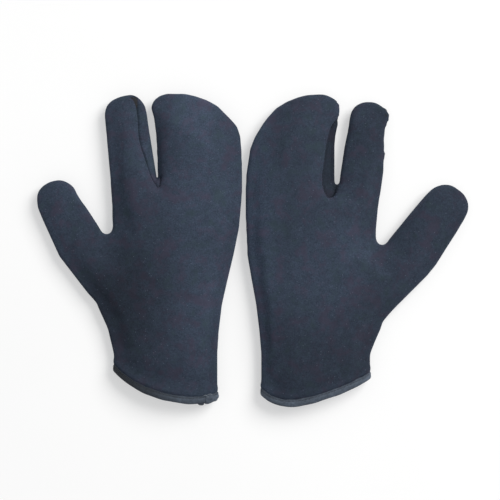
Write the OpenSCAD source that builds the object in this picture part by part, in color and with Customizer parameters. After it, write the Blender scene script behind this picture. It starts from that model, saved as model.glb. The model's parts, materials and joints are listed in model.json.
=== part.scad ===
// A pair of three-finger neoprene sailing gloves, lying palm up on a flat surface.
// Each glove is a thumb, an index finger and a wide mitt for the other three fingers.
// Frame: +Y to the fingertips, +Z up out of the palms, Z = 0 on the surface they lie on.

/* [Size] */
// Length of a glove from the cuff to the longest fingertip
glove_length = 290; // [250:5:320]
// Clear space between the two gloves, little finger to little finger
pair_gap = 3; // [2:1:30]

/* [Fabric] */
// Thickness of the neoprene panels with their nylon faces
neoprene = 3; // [2:0.5:3.5]
// Thickness of the plush lining
lining = 0.8; // [0.5:0.1:1]
// Height of the seam that joins the palm panel to the back panel
seam_z = 9; // [8:0.5:11]
// Height that the palm panel rises above that seam where a glove is wide
crown = 14; // [12:0.5:16]
// Height of the seam that joins the gusset, between two fingers, to the back panel
gusset_z = 5.6; // [4.6:0.5:7.6]

/* [Cuff] */
// Width of the tape that binds the cuff edge, on each face
tape_w = 7.5; // [6:0.5:10]
// Thickness of the tape
tape_t = 0.8; // [0.6:0.1:1]
// Thickness of the sewing thread
thread_d = 0.5; // [0.4:0.1:0.6]

/* [Knuckles] */
// How far the base knuckle of each finger bends
base_bend = 55; // [30:5:60]
// How far the outer knuckle of each finger bends
tip_bend = 50; // [30:5:60]
// Gap between the segments on the back of the hand
knuckle_gap = 0.6; // [0.5:0.1:1]

/* [Hidden] */
SEGMENTS = ["hand", "thumb_base", "thumb_tip", "index_base", "index_tip",
            "fingers_base", "fingers_tip"];
GUSSETED = ["hand", "index_base", "index_tip", "fingers_base", "fingers_tip"];

nylon = [0.22, 0.25, 0.31];
nylon_side = [0.17, 0.19, 0.24];
tape_grey = [0.30, 0.33, 0.37];
plush = [0.07, 0.07, 0.08];

k = glove_length / 290;   // every pattern measure below is for a 290 mm glove
wall = neoprene + lining;
ply_gap = 0.05;           // air between the neoprene and the lining
sag = 2;                  // how far the underside is pressed flat by the glove's weight
softness = 22;            // half width over which the palm panel rises to its crown
section_points = 20;
square_edge = 0.85;       // 1 makes an elliptical section, and less makes it squarer
far = 400;

// The pattern. Each row is one chord across a tube, from its thumb-side edge to the other,
// in millimetres from the middle of the cuff. The thumb is on the -X side of both patterns.
left_glove = [
    ["palm", [[[-46, 12], [48.5, -12]], [[-47.5, 48], [48.5, 44]], [[-53, 71], [50, 68]],
              [[-63, 93], [53, 93]], [[-62, 116], [58, 115]], [[-57, 140], [64, 140]],
              [[-48.5, 166], [69, 165], 1], [[-49, 188], [71, 188], 0.95],
              [[-50.5, 209], [72, 209], 0.84]]],
    ["thumb", [[[-55, 86], [-30, 136]], [[-71, 103], [-42, 143]], [[-98, 138], [-57, 158]],
               [[-103, 149], [-62, 166]], [[-113, 171], [-73, 183]], [[-118, 183], [-79, 191]],
               [[-119, 191], [-82, 196]]]],
    ["index", [[[-49, 196], [-6, 196]], [[-51, 216], [-8.5, 216]], [[-53, 238], [-12, 238]],
               [[-55, 260], [-15.5, 260]], [[-56, 271], [-17, 271]]]],
    ["fingers", [[[-5, 196], [71.5, 196]], [[-6.5, 216], [72, 216]], [[-7.2, 238], [71, 238]],
                 [[-7.8, 249], [69.5, 249]], [[-9, 259], [66, 258]], [[-10, 267], [58.5, 267]]]]];
right_glove = [
    ["palm", [[[-50, 12], [50, -12]], [[-51, 50], [50, 46]], [[-60, 72], [52, 70]],
              [[-64, 95], [55, 95]], [[-62, 117], [59, 117]], [[-58, 140], [63, 140]],
              [[-56, 162], [64, 162], 1], [[-58, 184], [65, 184], 0.95],
              [[-61, 206], [64.5, 206], 0.84]]],
    ["thumb", [[[-56, 74], [-28, 126]], [[-88, 106], [-48, 138]], [[-103, 121], [-62, 148]],
               [[-112, 132], [-74, 162]], [[-122, 148], [-87, 178]], [[-131, 162], [-97, 190]],
               [[-138, 174], [-104, 198]]]],
    ["index", [[[-60, 196], [-21, 196]], [[-63, 217], [-23.5, 217]], [[-64, 240], [-27, 240]],
               [[-65, 260], [-31, 260]], [[-67.5, 268], [-32, 268]]]],
    ["fingers", [[[-18, 196], [65, 196]], [[-18, 217], [64, 217]], [[-17.5, 240], [60.5, 240]],
                 [[-18.5, 251], [56, 251]], [[-20.5, 262], [49, 262]], [[-21, 268], [44.5, 268]]]]];

// The furthest point of each rounded tip.
left_tips = [["thumb", [-102.5, 207.5]], ["index", [-36, 287]], ["fingers", [10, 289]]];
right_tips = [["thumb", [-132.5, 202]], ["index", [-50, 283]], ["fingers", [0, 290]]];

// Knuckles: [x, y, direction that the finger points in], base knuckle first.
left_knuckles = [["thumb", [[-82, 157, 114], [-93, 181, 114]]],
                 ["index", [[-31, 219, 96], [-34.5, 252, 96]]],
                 ["fingers", [[32, 220, 90], [31, 253, 90]]]];
right_knuckles = [["thumb", [[-88, 141, 128], [-108, 166, 128]]],
                  ["index", [[-44, 219, 97], [-48, 252, 97]]],
                  ["fingers", [[23, 219, 90], [21, 252, 90]]]];

// The cuff edge as a cubic curve, thumb side first.
left_cuff = [[-50, 33], [-28, 4], [30, -8], [52, 6]];
right_cuff = [[-54, 26], [-20, 8], [38, -16], [51, 13]];

// The gusset between the index finger and the mitt, seen from above: up the index finger's
// seam, past the two tips and back down the mitt's seam. One glove's gusset lies towards its
// index finger and the other's towards its mitt.
left_gusset = [[-7.5, 202.5], [-17.7, 229], [-21.4, 243], [-23.9, 263.5], [-25.9, 279],
               [-29, 310], [6, 310], [3, 284], [-4.5, 273], [-5.5, 243.5], [-4.1, 224],
               [-3.5, 202.5]];
right_gusset = [[-22.5, 201], [-26.1, 223.5], [-32.5, 256.5], [-35, 270.5], [-38, 276],
                [-42, 310], [-10, 310], [-15.5, 275], [-13.3, 258.5], [-9.7, 233],
                [-7.4, 210.5], [-8.5, 198.5]];

// The free end of the left glove's tape, lapped over its start: [x, length].
lap = [38, 8];

function of(table, name) = [for (row = table) if (row[0] == name) row[1]][0];
function lerp(a, b, t) = a + (b - a) * t;
function bezier(p, t) = let (a = lerp(p[0], p[1], t), b = lerp(p[1], p[2], t), c = lerp(p[2], p[3], t))
    lerp(lerp(a, b, t), lerp(b, c, t), t);

// A closed section of a tube: half width w, underside z0, top z1. The underside is flat
// where it would pass below z0, and the points there are gathered at the flat's two ends.
function section(w, z0, z1) =
    let (depth = seam_z - z0 + sag, flat_s = pow((seam_z - z0) / depth, 1 / square_edge),
         flat_x = w * pow(sqrt(1 - flat_s * flat_s), square_edge))
    [for (i = [0 : section_points - 1])
        let (t = 360 * i / section_points, c = cos(t), s = sin(t))
        s < -flat_s ? [c < 0 ? -flat_x : flat_x, z0]
        : [w * sign(c) * pow(abs(c), square_edge),
           s >= 0 ? seam_z + (z1 - seam_z) * pow(s, square_edge)
                  : seam_z - depth * pow(-s, square_edge)]];

// A section's points in space. A chord is [left, right, share, crown share, clearance]: share
// tapers a tip's whole height, crown share lowers the palm panel only, and the fingers lie
// a little clear of the surface that the palm rests on.
function ring(chord, inset) =
    let (mid = (chord[0] + chord[1]) / 2, across = chord[1] - chord[0], width = norm(across),
         least = 0.6 - inset / 10, w = max(width / 2 - inset, 1.5 * least),
         u = across / width, share = chord[2],
         under = mid[1] < 60 * k ? tape_t + 0.4 : chord[4],
         rise = crown * chord[3] * (1 - exp(-width / 2 / softness)),
         z0 = seam_z - max((seam_z - under) * share - inset, least),
         z1 = seam_z + max(rise * share - inset, least))
    [for (p = section(w, z0, z1)) [mid[0] + u[0] * p[0], mid[1] + u[1] * p[0], p[1]]];

// The chords of a tube, with the rounded tip that ends a finger. The palm has no tip, and
// its last chord is moved back so that there is a wall between the fingers.
function chords(rows, tip, inset) =
    let (blunt = tip == undef ? [0, max(inset, 0)] : [0, 0], last_row = len(rows) - 1,
         body = [for (i = [0 : last_row]) let (r = rows[i], back = i == last_row ? blunt : [0, 0])
            [r[0] * k - back, r[1] * k - back, 1, r[2] == undef ? 1 : r[2], tip == undef ? 0 : 0.15]])
    tip == undef ? body : let (
        last = body[len(body) - 1], mid = (last[0] + last[1]) / 2,
        reach = tip * k - mid, end = reach * (1 - inset / norm(reach)))
    concat(body, [for (a = [25, 45, 62, 76])
        [lerp(mid, last[0], cos(a)) + end * sin(a), lerp(mid, last[1], cos(a)) + end * sin(a),
         pow(cos(a), 0.7), 1, 0.15]]);

module loft(a, b) {
    n = section_points;
    hull() polyhedron(concat(a, b), concat([[for (i = [0 : n - 1]) i]],
        [[for (i = [n - 1 : -1 : 0]) n + i]],
        [for (i = [0 : n - 1]) [i, n + i, n + (i + 1) % n, (i + 1) % n]]));
}

// One tube of the glove, drawn smaller by inset.
module tube(side, name, inset) {
    rows = chords(of(side == "left" ? left_glove : right_glove, name),
                  of(side == "left" ? left_tips : right_tips, name), inset);
    for (i = [0 : len(rows) - 2]) loft(ring(rows[i], inset), ring(rows[i + 1], inset));
}

// Everything on one side of a knuckle: way = 1 beyond it, and -1 before it. Above the seam
// the cut leans back, so that the segments close up face to face at full bend.
module past(side, finger, index, way) {
    at = of(side == "left" ? left_knuckles : right_knuckles, finger)[index];
    lean = tan((index == 0 ? base_bend : tip_bend) / 2);
    g = knuckle_gap / 2;
    translate([at[0] * k, at[1] * k, 0]) rotate([0, 0, at[2]]) scale([way, 1, 1]) rotate([90, 0, 0])
        linear_extrude(far, center = true) polygon([[g, -far / 4], [g, seam_z],
            [g + lean * far / 4, seam_z + far / 4], [far, seam_z + far / 4], [far, -far / 4]]);
}

// Everything above the cuff edge, moved up by rise.
module above_cuff(side, rise) {
    curve = side == "left" ? left_cuff : right_cuff;
    translate([0, rise, -far / 4]) linear_extrude(far / 2)
        polygon(concat([for (i = [0 : 12]) bezier(curve, i / 12) * k], [[far, 20], [far, far], [-far, far], [-far, 37]]));
}

// The whole space that a segment fills, drawn smaller by inset.
module segment(side, name, inset) {
    if (name == "hand") {
        tube(side, "palm", inset);
        for (f = ["thumb", "index", "fingers"]) intersection() {
            tube(side, f, inset);
            past(side, f, 0, -1);
        }
    }
    for (f = ["thumb", "index", "fingers"]) {
        if (name == str(f, "_base")) intersection() {
            tube(side, f, inset);
            past(side, f, 0, 1);
            past(side, f, 1, -1);
        }
        if (name == str(f, "_tip")) intersection() {
            tube(side, f, inset);
            past(side, f, 1, 1);
        }
    }
}

// The hollow of a segment, which runs out through its open ends.
module hollow(side, name, inset) {
    if (name == "hand") tube(side, "palm", inset);
    for (f = ["thumb", "index", "fingers"])
        if (name == "hand" || name == str(f, "_base") || name == str(f, "_tip")) tube(side, f, inset);
}

// A sheet of fabric on a segment, from outer to inner, trimmed at the cuff.
module sheet(side, name, outer, inner) {
    difference() {
        intersection() {
            segment(side, name, outer);
            if (name == "hand") above_cuff(side, tape_t);
        }
        hollow(side, name, inner);
    }
}

module band(low, high) {
    translate([-far, -far / 2, low]) cube([2 * far, 2 * far, high - low]);
}

// Everywhere that the gusset takes the place of the palm and back panels.
module gusset_side(side) {
    translate([0, 0, gusset_z]) linear_extrude(far / 4)
        polygon((side == "left" ? left_gusset : right_gusset) * k);
}

module palm_panel(side, name) {
    color(nylon) difference() {
        intersection() {
            sheet(side, name, 0, neoprene);
            band(seam_z, far / 4);
        }
        gusset_side(side);
    }
}

module back_panel(side, name) {
    color(nylon) difference() {
        intersection() {
            sheet(side, name, 0, neoprene);
            band(-1, seam_z);
        }
        gusset_side(side);
    }
}

module gusset(side, name) {
    color(nylon_side) intersection() {
        sheet(side, name, 0, neoprene);
        gusset_side(side);
    }
}

module plush_lining(side, name) {
    color(plush) sheet(side, name, neoprene + ply_gap, wall);
}

// The tape folds round the raw edge of the panels and lining.
module cuff_binding(side) {
    color(tape_grey) difference() {
        intersection() {
            tube(side, "palm", -tape_t);
            above_cuff(side, 0);
        }
        above_cuff(side, tape_w);
        tube(side, "palm", wall + tape_t);
        intersection() {
            difference() {
                tube(side, "palm", -ply_gap);
                tube(side, "palm", wall + ply_gap);
            }
            above_cuff(side, tape_t - ply_gap);
        }
    }
    if (side == "left") color(tape_grey) intersection() {
        difference() {
            tube(side, "palm", -2 * tape_t);
            tube(side, "palm", -tape_t / 2);
        }
        difference() {
            above_cuff(side, 0);
            above_cuff(side, tape_w - 4 * thread_d);
        }
        translate([lap[0] * k, -far / 8, seam_z]) cube([lap[1], far / 2, far / 4]);
    }
}

// The seam that holds the tape, outside and inside.
module cuff_thread(side) {
    outside = -tape_t - ply_gap;
    inside = wall + tape_t + ply_gap;
    color(plush) intersection() {
        difference() {
            above_cuff(side, tape_w - 3 * thread_d);
            above_cuff(side, tape_w - 2 * thread_d);
        }
        union() {
            difference() {
                tube(side, "palm", outside - thread_d / 3);
                tube(side, "palm", outside);
            }
            difference() {
                tube(side, "palm", inside);
                tube(side, "palm", inside + thread_d / 3);
            }
        }
    }
}

module glove_node(side) {
    for (s = SEGMENTS) {
        palm_panel(side, s);
        back_panel(side, s);
        plush_lining(side, s);
    }
    for (s = GUSSETED)
        gusset(side, s);
    cuff_binding(side);
    cuff_thread(side);
}

// The widest points of the mitts stand either side of the gap.
translate([-79.6 * k - pair_gap / 2, -142.9 * k, 0]) glove_node("left");
translate([57.4 * k + pair_gap / 2, -144.9 * k, 0]) mirror([1, 0, 0]) glove_node("right");
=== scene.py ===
import json
import math
from functools import cache

import bpy
import numpy as np
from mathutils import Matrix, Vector, noise
from mathutils.geometry import delaunay_2d_cdt
from mathutils.kdtree import KDTree


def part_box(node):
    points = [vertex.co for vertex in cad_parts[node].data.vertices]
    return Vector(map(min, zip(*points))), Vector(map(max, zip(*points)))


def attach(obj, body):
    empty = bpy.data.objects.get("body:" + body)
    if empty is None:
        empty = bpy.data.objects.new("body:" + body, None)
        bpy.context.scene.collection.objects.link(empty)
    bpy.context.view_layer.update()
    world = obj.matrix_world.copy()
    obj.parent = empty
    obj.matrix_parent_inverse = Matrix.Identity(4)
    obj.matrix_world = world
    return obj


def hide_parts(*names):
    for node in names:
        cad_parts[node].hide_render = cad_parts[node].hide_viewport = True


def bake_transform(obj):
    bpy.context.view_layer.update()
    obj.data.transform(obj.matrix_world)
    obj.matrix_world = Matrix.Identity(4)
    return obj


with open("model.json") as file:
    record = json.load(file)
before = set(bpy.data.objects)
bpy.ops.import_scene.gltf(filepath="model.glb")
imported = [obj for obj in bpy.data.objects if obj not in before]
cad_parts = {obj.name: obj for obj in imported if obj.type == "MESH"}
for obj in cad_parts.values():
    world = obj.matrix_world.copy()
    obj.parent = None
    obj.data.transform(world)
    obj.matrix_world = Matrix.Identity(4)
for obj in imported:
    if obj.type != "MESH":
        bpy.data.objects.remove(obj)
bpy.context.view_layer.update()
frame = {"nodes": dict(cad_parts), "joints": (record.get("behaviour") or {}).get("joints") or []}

# ---- Sizes, in millimetres. Shapes are worked out in millimetres and made in metres.
MM = 0.001
SEAM_Z = 9.0              # height of the seam between the palm panel and the back panel
LOWEST = 0.02             # how close to the floor the fabric comes
WALL = 3.8                # neoprene and lining together
CROWN, REACH = 11.6, 16.0       # a panel's steep rise, and how far from its edge that goes on
DOME, DOME_REACH = 5.6, 34.0    # the gentler dome on top of it, and how far it goes on
WRIST_CROWN, WRIST_DOME = 9.6, 2.6      # the same two rises at the wrist
BELLY = 12.0              # how far the back side would sink if no floor were there
CUFF_LIFT = 1.35          # how far the cuff is off the floor
TAPE_W = 7.5              # width of the cuff tape on each face
TAPE_T = 0.85
STITCH = 3.1              # pitch of the stitches in the tape
STITCH_IN = 1.45          # from the tape's free edge to its stitches
THREAD = 0.24             # radius of the thread
GROOVES = ((1.3, 0.9), (0.75, 3.4))     # a seam's narrow and wide groove: depth, half width
HOLLOW = 2.6              # how far the right-hand gusset strip lies below the panel
BLEND = 21.0              # length of fabric that bends at a knuckle
PLUMP = 0.55              # smoothing shrinks the outline by about this much

# The grid that the outline is read on.
CELL = 0.5
MARGIN = 14               # empty border round it
WRIST_ROOM = 20           # more of it below the cuff
WEB = 5.0                 # radius of the web between thumb and palm

# The mesh.
RINGS = (0.15, 0.5, 1.1, 2.0, 3.2, 4.8)   # rows of points beside the outline
FIRST_FREE = RINGS[-1] + 1.4              # where the plain grid of points begins
SEAM_ROWS = (0.45, 1.0, 1.8, 3.0)         # rows of points beside a seam
TAPE_ROWS = (-2.6, -1.6, -0.8, 0.0, 0.8, 1.8, 3.2)   # rows beside the tape's free edge
PITCH = 2.4               # spacing of the other points

# The cloth simulation.
SIM_CELL = 5.0            # the cloth's mesh
SIM_FRAMES = 18
SIM_CAP = 1.6             # how far the cloth may move a point

# Where part.scad's patterns have their origin, and which way their x runs. All the places
# below are in a pattern's own millimetres.
PATTERN = {"left": (-81.1, -142.9, 1), "right": (58.9, -144.9, -1)}
# The seams of the gusset between the index finger and the mitt, from the crotch outward.
INDEX_SEAM = {
    "left": [(-7.2, 203.5), (-13.2, 216), (-18, 229), (-20.9, 240), (-22.9, 252), (-23.8, 265.5),
             (-25.9, 279), (-30, 292)],
    "right": [(-18.5, 199), (-25.2, 218), (-29.4, 240), (-32.4, 256), (-34.3, 268), (-38.5, 278),
              (-44, 290)]}
MITT_SEAM = {
    "left": [(-4.6, 203.5), (-4.2, 216), (-5.0, 238), (-5.4, 252), (-6.0, 262), (-3.5, 275), (1, 294)],
    "right": [(-10.5, 196), (-7.4, 207), (-8.7, 224), (-10.8, 241), (-12.9, 253), (-15.6, 261),
              (-21, 268)]}
CROTCH = {"left": (-6.0, 202.2), "right": (-14.5, 195.0)}
# Which of the two shows from above; the other one is at the outline's edge.
TOP_SEAM = {"left": 0, "right": 1}
# The middle of the gap between the index finger and the mitt.
GAP = {
    "left": [(-6, 200), (-7, 216), (-8, 227), (-9.4, 238), (-10.3, 249), (-11.7, 260), (-13.1, 271),
             (-14.5, 282), (-15, 300)],
    "right": [(-19, 198), (-20.3, 215), (-22, 235), (-23.5, 251), (-25.5, 264), (-27.5, 276),
              (-29, 300)]}
# Where the padded tips stand out from the panels' plain outline, or sink in: place, radius
# and how far.
BULGES = {
    "left": [((-29, 289), 10, 1.8), ((-42, 284), 6, -0.5), ((-99, 208), 10, 1.2), ((46, 279), 16, 0.9),
             ((66, 258), 13, 1.2), ((-2, 287), 9, 0.8), ((20, 290), 14, 0.5), ((-51, 163), 7, -0.8)],
    "right": [((-5, 289), 14, 1.2), ((-38, 281), 9, 0.8), ((-52, 285), 9, 0.5), ((-66, 271), 7, 0.6),
              ((-123, 204), 12, 0.8), ((-140, 189), 12, 1.0), ((-62, 80), 9, 1.0),
              ((-63, 152), 7, -0.8), ((45, 268), 14, 0.4), ((-62, 250), 8, -0.8), ((-21, 274), 7, -1.2)]}
# Where a seam's bulky, rough end stands out from the outline: place and radius.
TUFTS = {"left": [], "right": [((-16.4, 273.5), 12.5), ((-64.5, 269.0), 9.0), ((-66.3, 234.0), 4.0)]}

DIGITS = ("thumb", "index", "fingers")
HALF_WIDTH = {"thumb": 29.0, "index": 40.0, "fingers": 60.0}
REGIONS = ("hand", "thumb_base", "thumb_tip", "index_base", "index_tip", "fingers_base", "fingers_tip")

# The tape's lapped end on the left-hand glove.
LAP_X = 38.0              # where it begins, from the pattern's origin
LAP_TURN = 0.056          # its length, in turns of the cuff
# Loose threads beside it: turns of the cuff from its start, height above the cuff, length.
THREAD_ENDS = ((0.006, 6.9, 3.8), (0.026, 7.0, 4.6), (0.014, 5.2, 3.0))


# ---- Grids, curves and meshes
def blur(field, sigma):
    reach = int(math.ceil(3 * sigma))
    offsets = range(-reach, reach + 1)
    weights = np.exp(-0.5 * (np.array(offsets) / sigma) ** 2)
    weights /= weights.sum()
    for axis in (0, 1):
        field = sum(w * np.roll(field, i, axis) for w, i in zip(weights, offsets))
    return field


def grow(mask, radius):
    out = mask.copy()
    for dy in range(-radius, radius + 1):
        for dx in range(-radius, radius + 1):
            if dx * dx + dy * dy <= radius * radius:
                out |= np.roll(np.roll(mask, dy, 0), dx, 1)
    return out


def close(mask, radius):
    return ~grow(~grow(mask, radius), radius)


def contour(field):
    """The longest closed line where the field passes 0.5, as (x, y) in cells."""
    inside = field > 0.5
    mixed = inside[:-1, :-1].astype(int) + inside[1:, :-1] + inside[:-1, 1:] + inside[1:, 1:]
    links = {}
    for y, x in zip(*np.nonzero((mixed > 0) & (mixed < 4))):
        corners = inside[y, x], inside[y, x + 1], inside[y + 1, x + 1], inside[y + 1, x]
        sides = (0, y, x), (1, y, x + 1), (0, y + 1, x), (1, y, x)
        cut = [side for i, side in enumerate(sides) if corners[i] != corners[(i + 1) % 4]]
        pairs = [cut] if len(cut) == 2 else [cut[:2], cut[2:]]
        for p, q in pairs:
            links.setdefault(p, []).append(q)
            links.setdefault(q, []).append(p)
    loops, left = [], set(links)
    while left:
        start = left.pop()
        loop, here = [start], links[start][0]
        while here in left:
            left.remove(here)
            loop.append(here)
            ahead = [n for n in links[here] if n in left]
            if not ahead:
                break
            here = ahead[0]
        loops.append(loop)
    points = []
    for down, y, x in max(loops, key=len):
        f0, f1 = field[y, x], field[y + down, x + 1 - down]
        t = (0.5 - f0) / (f1 - f0)
        points.append((x + (0 if down else t), y + (t if down else 0)))
    return np.array(points)


def unit(vectors):
    return vectors / np.maximum(np.linalg.norm(vectors, axis=-1, keepdims=True), 1e-9)


def turned(vectors):
    """Vectors in the plane, turned a quarter to the left."""
    return np.stack([-vectors[..., 1], vectors[..., 0]], -1)


def length_along(points):
    return np.concatenate([[0], np.cumsum(np.linalg.norm(np.diff(points, axis=0), axis=1))])


def signed_area(a, b, c):
    """Twice the area of each triangle, above 0 if it runs anticlockwise."""
    return ((b[..., 0] - a[..., 0]) * (c[..., 1] - a[..., 1])
            - (b[..., 1] - a[..., 1]) * (c[..., 0] - a[..., 0]))


def resample(points, step=None, closed=False, count=None):
    """The same line with even spacing: so many points, or about this step apart."""
    pts = np.vstack([points, points[:1]]) if closed else np.asarray(points, float)
    s = length_along(pts)
    count = count or max(2, int(round(s[-1] / step)))
    at = np.linspace(0, s[-1], count + 1)
    if closed:
        at = at[:-1]
    return np.stack([np.interp(at, s, pts[:, i]) for i in range(pts.shape[1])], 1)


def smooth_loop(pts, times):
    for _ in range(times):
        pts = 0.5 * pts + 0.25 * (np.roll(pts, 1, 0) + np.roll(pts, -1, 0))
    return pts


def spline(points, step):
    """A Catmull-Rom curve through the points, at even spacing."""
    p = np.array(points, float)
    p = np.vstack([2 * p[0] - p[1], p, 2 * p[-1] - p[-2]])
    out = []
    for i in range(1, len(p) - 2):
        for t in np.linspace(0, 1, 24, endpoint=False):
            out.append(0.5 * (2 * p[i] + (p[i + 1] - p[i - 1]) * t
                              + (2 * p[i - 1] - 5 * p[i] + 4 * p[i + 1] - p[i + 2]) * t ** 2
                              + (3 * p[i] - p[i - 1] - 3 * p[i + 1] + p[i + 2]) * t ** 3))
    out.append(p[-2])
    return resample(np.array(out), step)


def inside_polygon(pts, poly):
    x, y = pts[:, 0], pts[:, 1]
    hit = np.zeros(len(pts), bool)
    for (x0, y0), (x1, y1) in zip(poly, np.roll(poly, -1, 0)):
        if y0 != y1:
            cross = (y0 > y) != (y1 > y)
            hit ^= cross & (x < (x1 - x0) * (y - y0) / (y1 - y0) + x0)
    return hit


def spaced(groups):
    """Puts groups of (points, gap) together, dropping points that crowd an earlier one."""
    kept, grid = [], {}
    for pts, gap in groups:
        reach = int(math.ceil(gap))
        for p in pts:
            kx, ky = int(p[0] // 1), int(p[1] // 1)
            nearby = [q for i in range(kx - reach, kx + reach + 1)
                      for j in range(ky - reach, ky + reach + 1) for q in grid.get((i, j), ())]
            if all((q[0] - p[0]) ** 2 + (q[1] - p[1]) ** 2 >= gap * gap for q in nearby):
                grid.setdefault((kx, ky), []).append(p)
                kept.append(p)
    return kept


def tree_of(points):
    """A search tree over points in the plane or in space."""
    tree = KDTree(len(points))
    for i, p in enumerate(points):
        tree.insert((p[0], p[1], p[2] if len(p) > 2 else 0), i)
    tree.balance()
    return tree


class Line:
    """A polyline, with what is nearest on it to many points."""

    def __init__(self, pts, closed=False):
        self.a = pts if closed else pts[:-1]
        self.b = np.roll(pts, -1, 0) if closed else pts[1:]
        self.tree = tree_of((self.a + self.b) / 2)

    def nearest(self, pts):
        """(distance, nearest point) for each point."""
        idx = np.array([[i for _, i, _ in self.tree.find_n((x, y, 0), 3)] for x, y in pts])
        best = np.full(len(pts), np.inf)
        foot = np.zeros((len(pts), 2))
        for k in range(idx.shape[1]):
            a, b = self.a[idx[:, k]], self.b[idx[:, k]]
            ab = b - a
            t = np.clip(((pts - a) * ab).sum(1) / np.maximum((ab * ab).sum(1), 1e-12), 0, 1)
            q = a + ab * t[:, None]
            d = np.linalg.norm(pts - q, axis=1)
            near = d < best
            best[near], foot[near] = d[near], q[near]
        return best, foot


def along_line(line, foot):
    """Length along a line of points to the place nearest each foot."""
    tree = tree_of(line)
    near = np.array([tree.find((x, y, 0))[1] for x, y in foot])
    t = unit(np.gradient(line, axis=0))
    return length_along(line)[near] + ((foot - line[near]) * t[near]).sum(1)


def smoothstep(a, b, x):
    """0 at a and beyond, 1 at b and beyond; a may be the larger."""
    t = np.clip((x - a) / (b - a), 0, 1)
    return t * t * (3 - 2 * t)


def hump(x, width):
    """1 where x is 0, falling off over the width to either side."""
    return np.exp(-(x / width) ** 2)


def rough(*place):
    return noise.noise(Vector(place))


def ripple(pts, scale, seed):
    """Smooth noise from -1 to 1 or so, with features of that size in millimetres."""
    return np.array([rough(p[0] / scale + seed, p[1] / scale - seed, seed) for p in pts])


def mesh_points(mesh):
    co = np.empty(len(mesh.vertices) * 3)
    mesh.vertices.foreach_get("co", co)
    return co.reshape(-1, 3) / MM


def mesh_triangles(mesh):
    mesh.calc_loop_triangles()
    tri = np.empty(len(mesh.loop_triangles) * 3, np.int32)
    mesh.loop_triangles.foreach_get("vertices", tri)
    return tri.reshape(-1, 3)


def vertex_normals(co, tri):
    n = np.cross(co[tri[:, 1]] - co[tri[:, 0]], co[tri[:, 2]] - co[tri[:, 0]])
    out = np.zeros_like(co)
    for k in range(3):
        np.add.at(out, tri[:, k], n)
    return unit(out)


def make_mesh(name, co, tri, attributes=None, normals=None):
    mesh = bpy.data.meshes.new(name)
    mesh.from_pydata((co * MM).tolist(), [], np.asarray(tri).tolist())
    mesh.polygons.foreach_set("use_smooth", np.ones(len(mesh.polygons), bool))
    for key, values in (attributes or {}).items():
        attribute = mesh.attributes.new(key, "FLOAT_VECTOR", "POINT")
        attribute.data.foreach_set("vector", np.ascontiguousarray(values, np.float32).ravel())
    obj = bpy.data.objects.new(name, mesh)
    bpy.context.scene.collection.objects.link(obj)
    mesh.update()
    if normals is not None:
        mesh.normals_split_custom_set_from_vertices(normals.tolist())
    return obj


def submesh(name, co, faces, attributes, normals):
    """A mesh of these faces, with only the points that they use."""
    used = np.unique(faces)
    back = np.full(len(co), -1)
    back[used] = np.arange(len(used))
    attributes = {key: values[used] for key, values in attributes.items()}
    return make_mesh(name, co[used], back[faces], attributes, normals[used])


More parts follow.
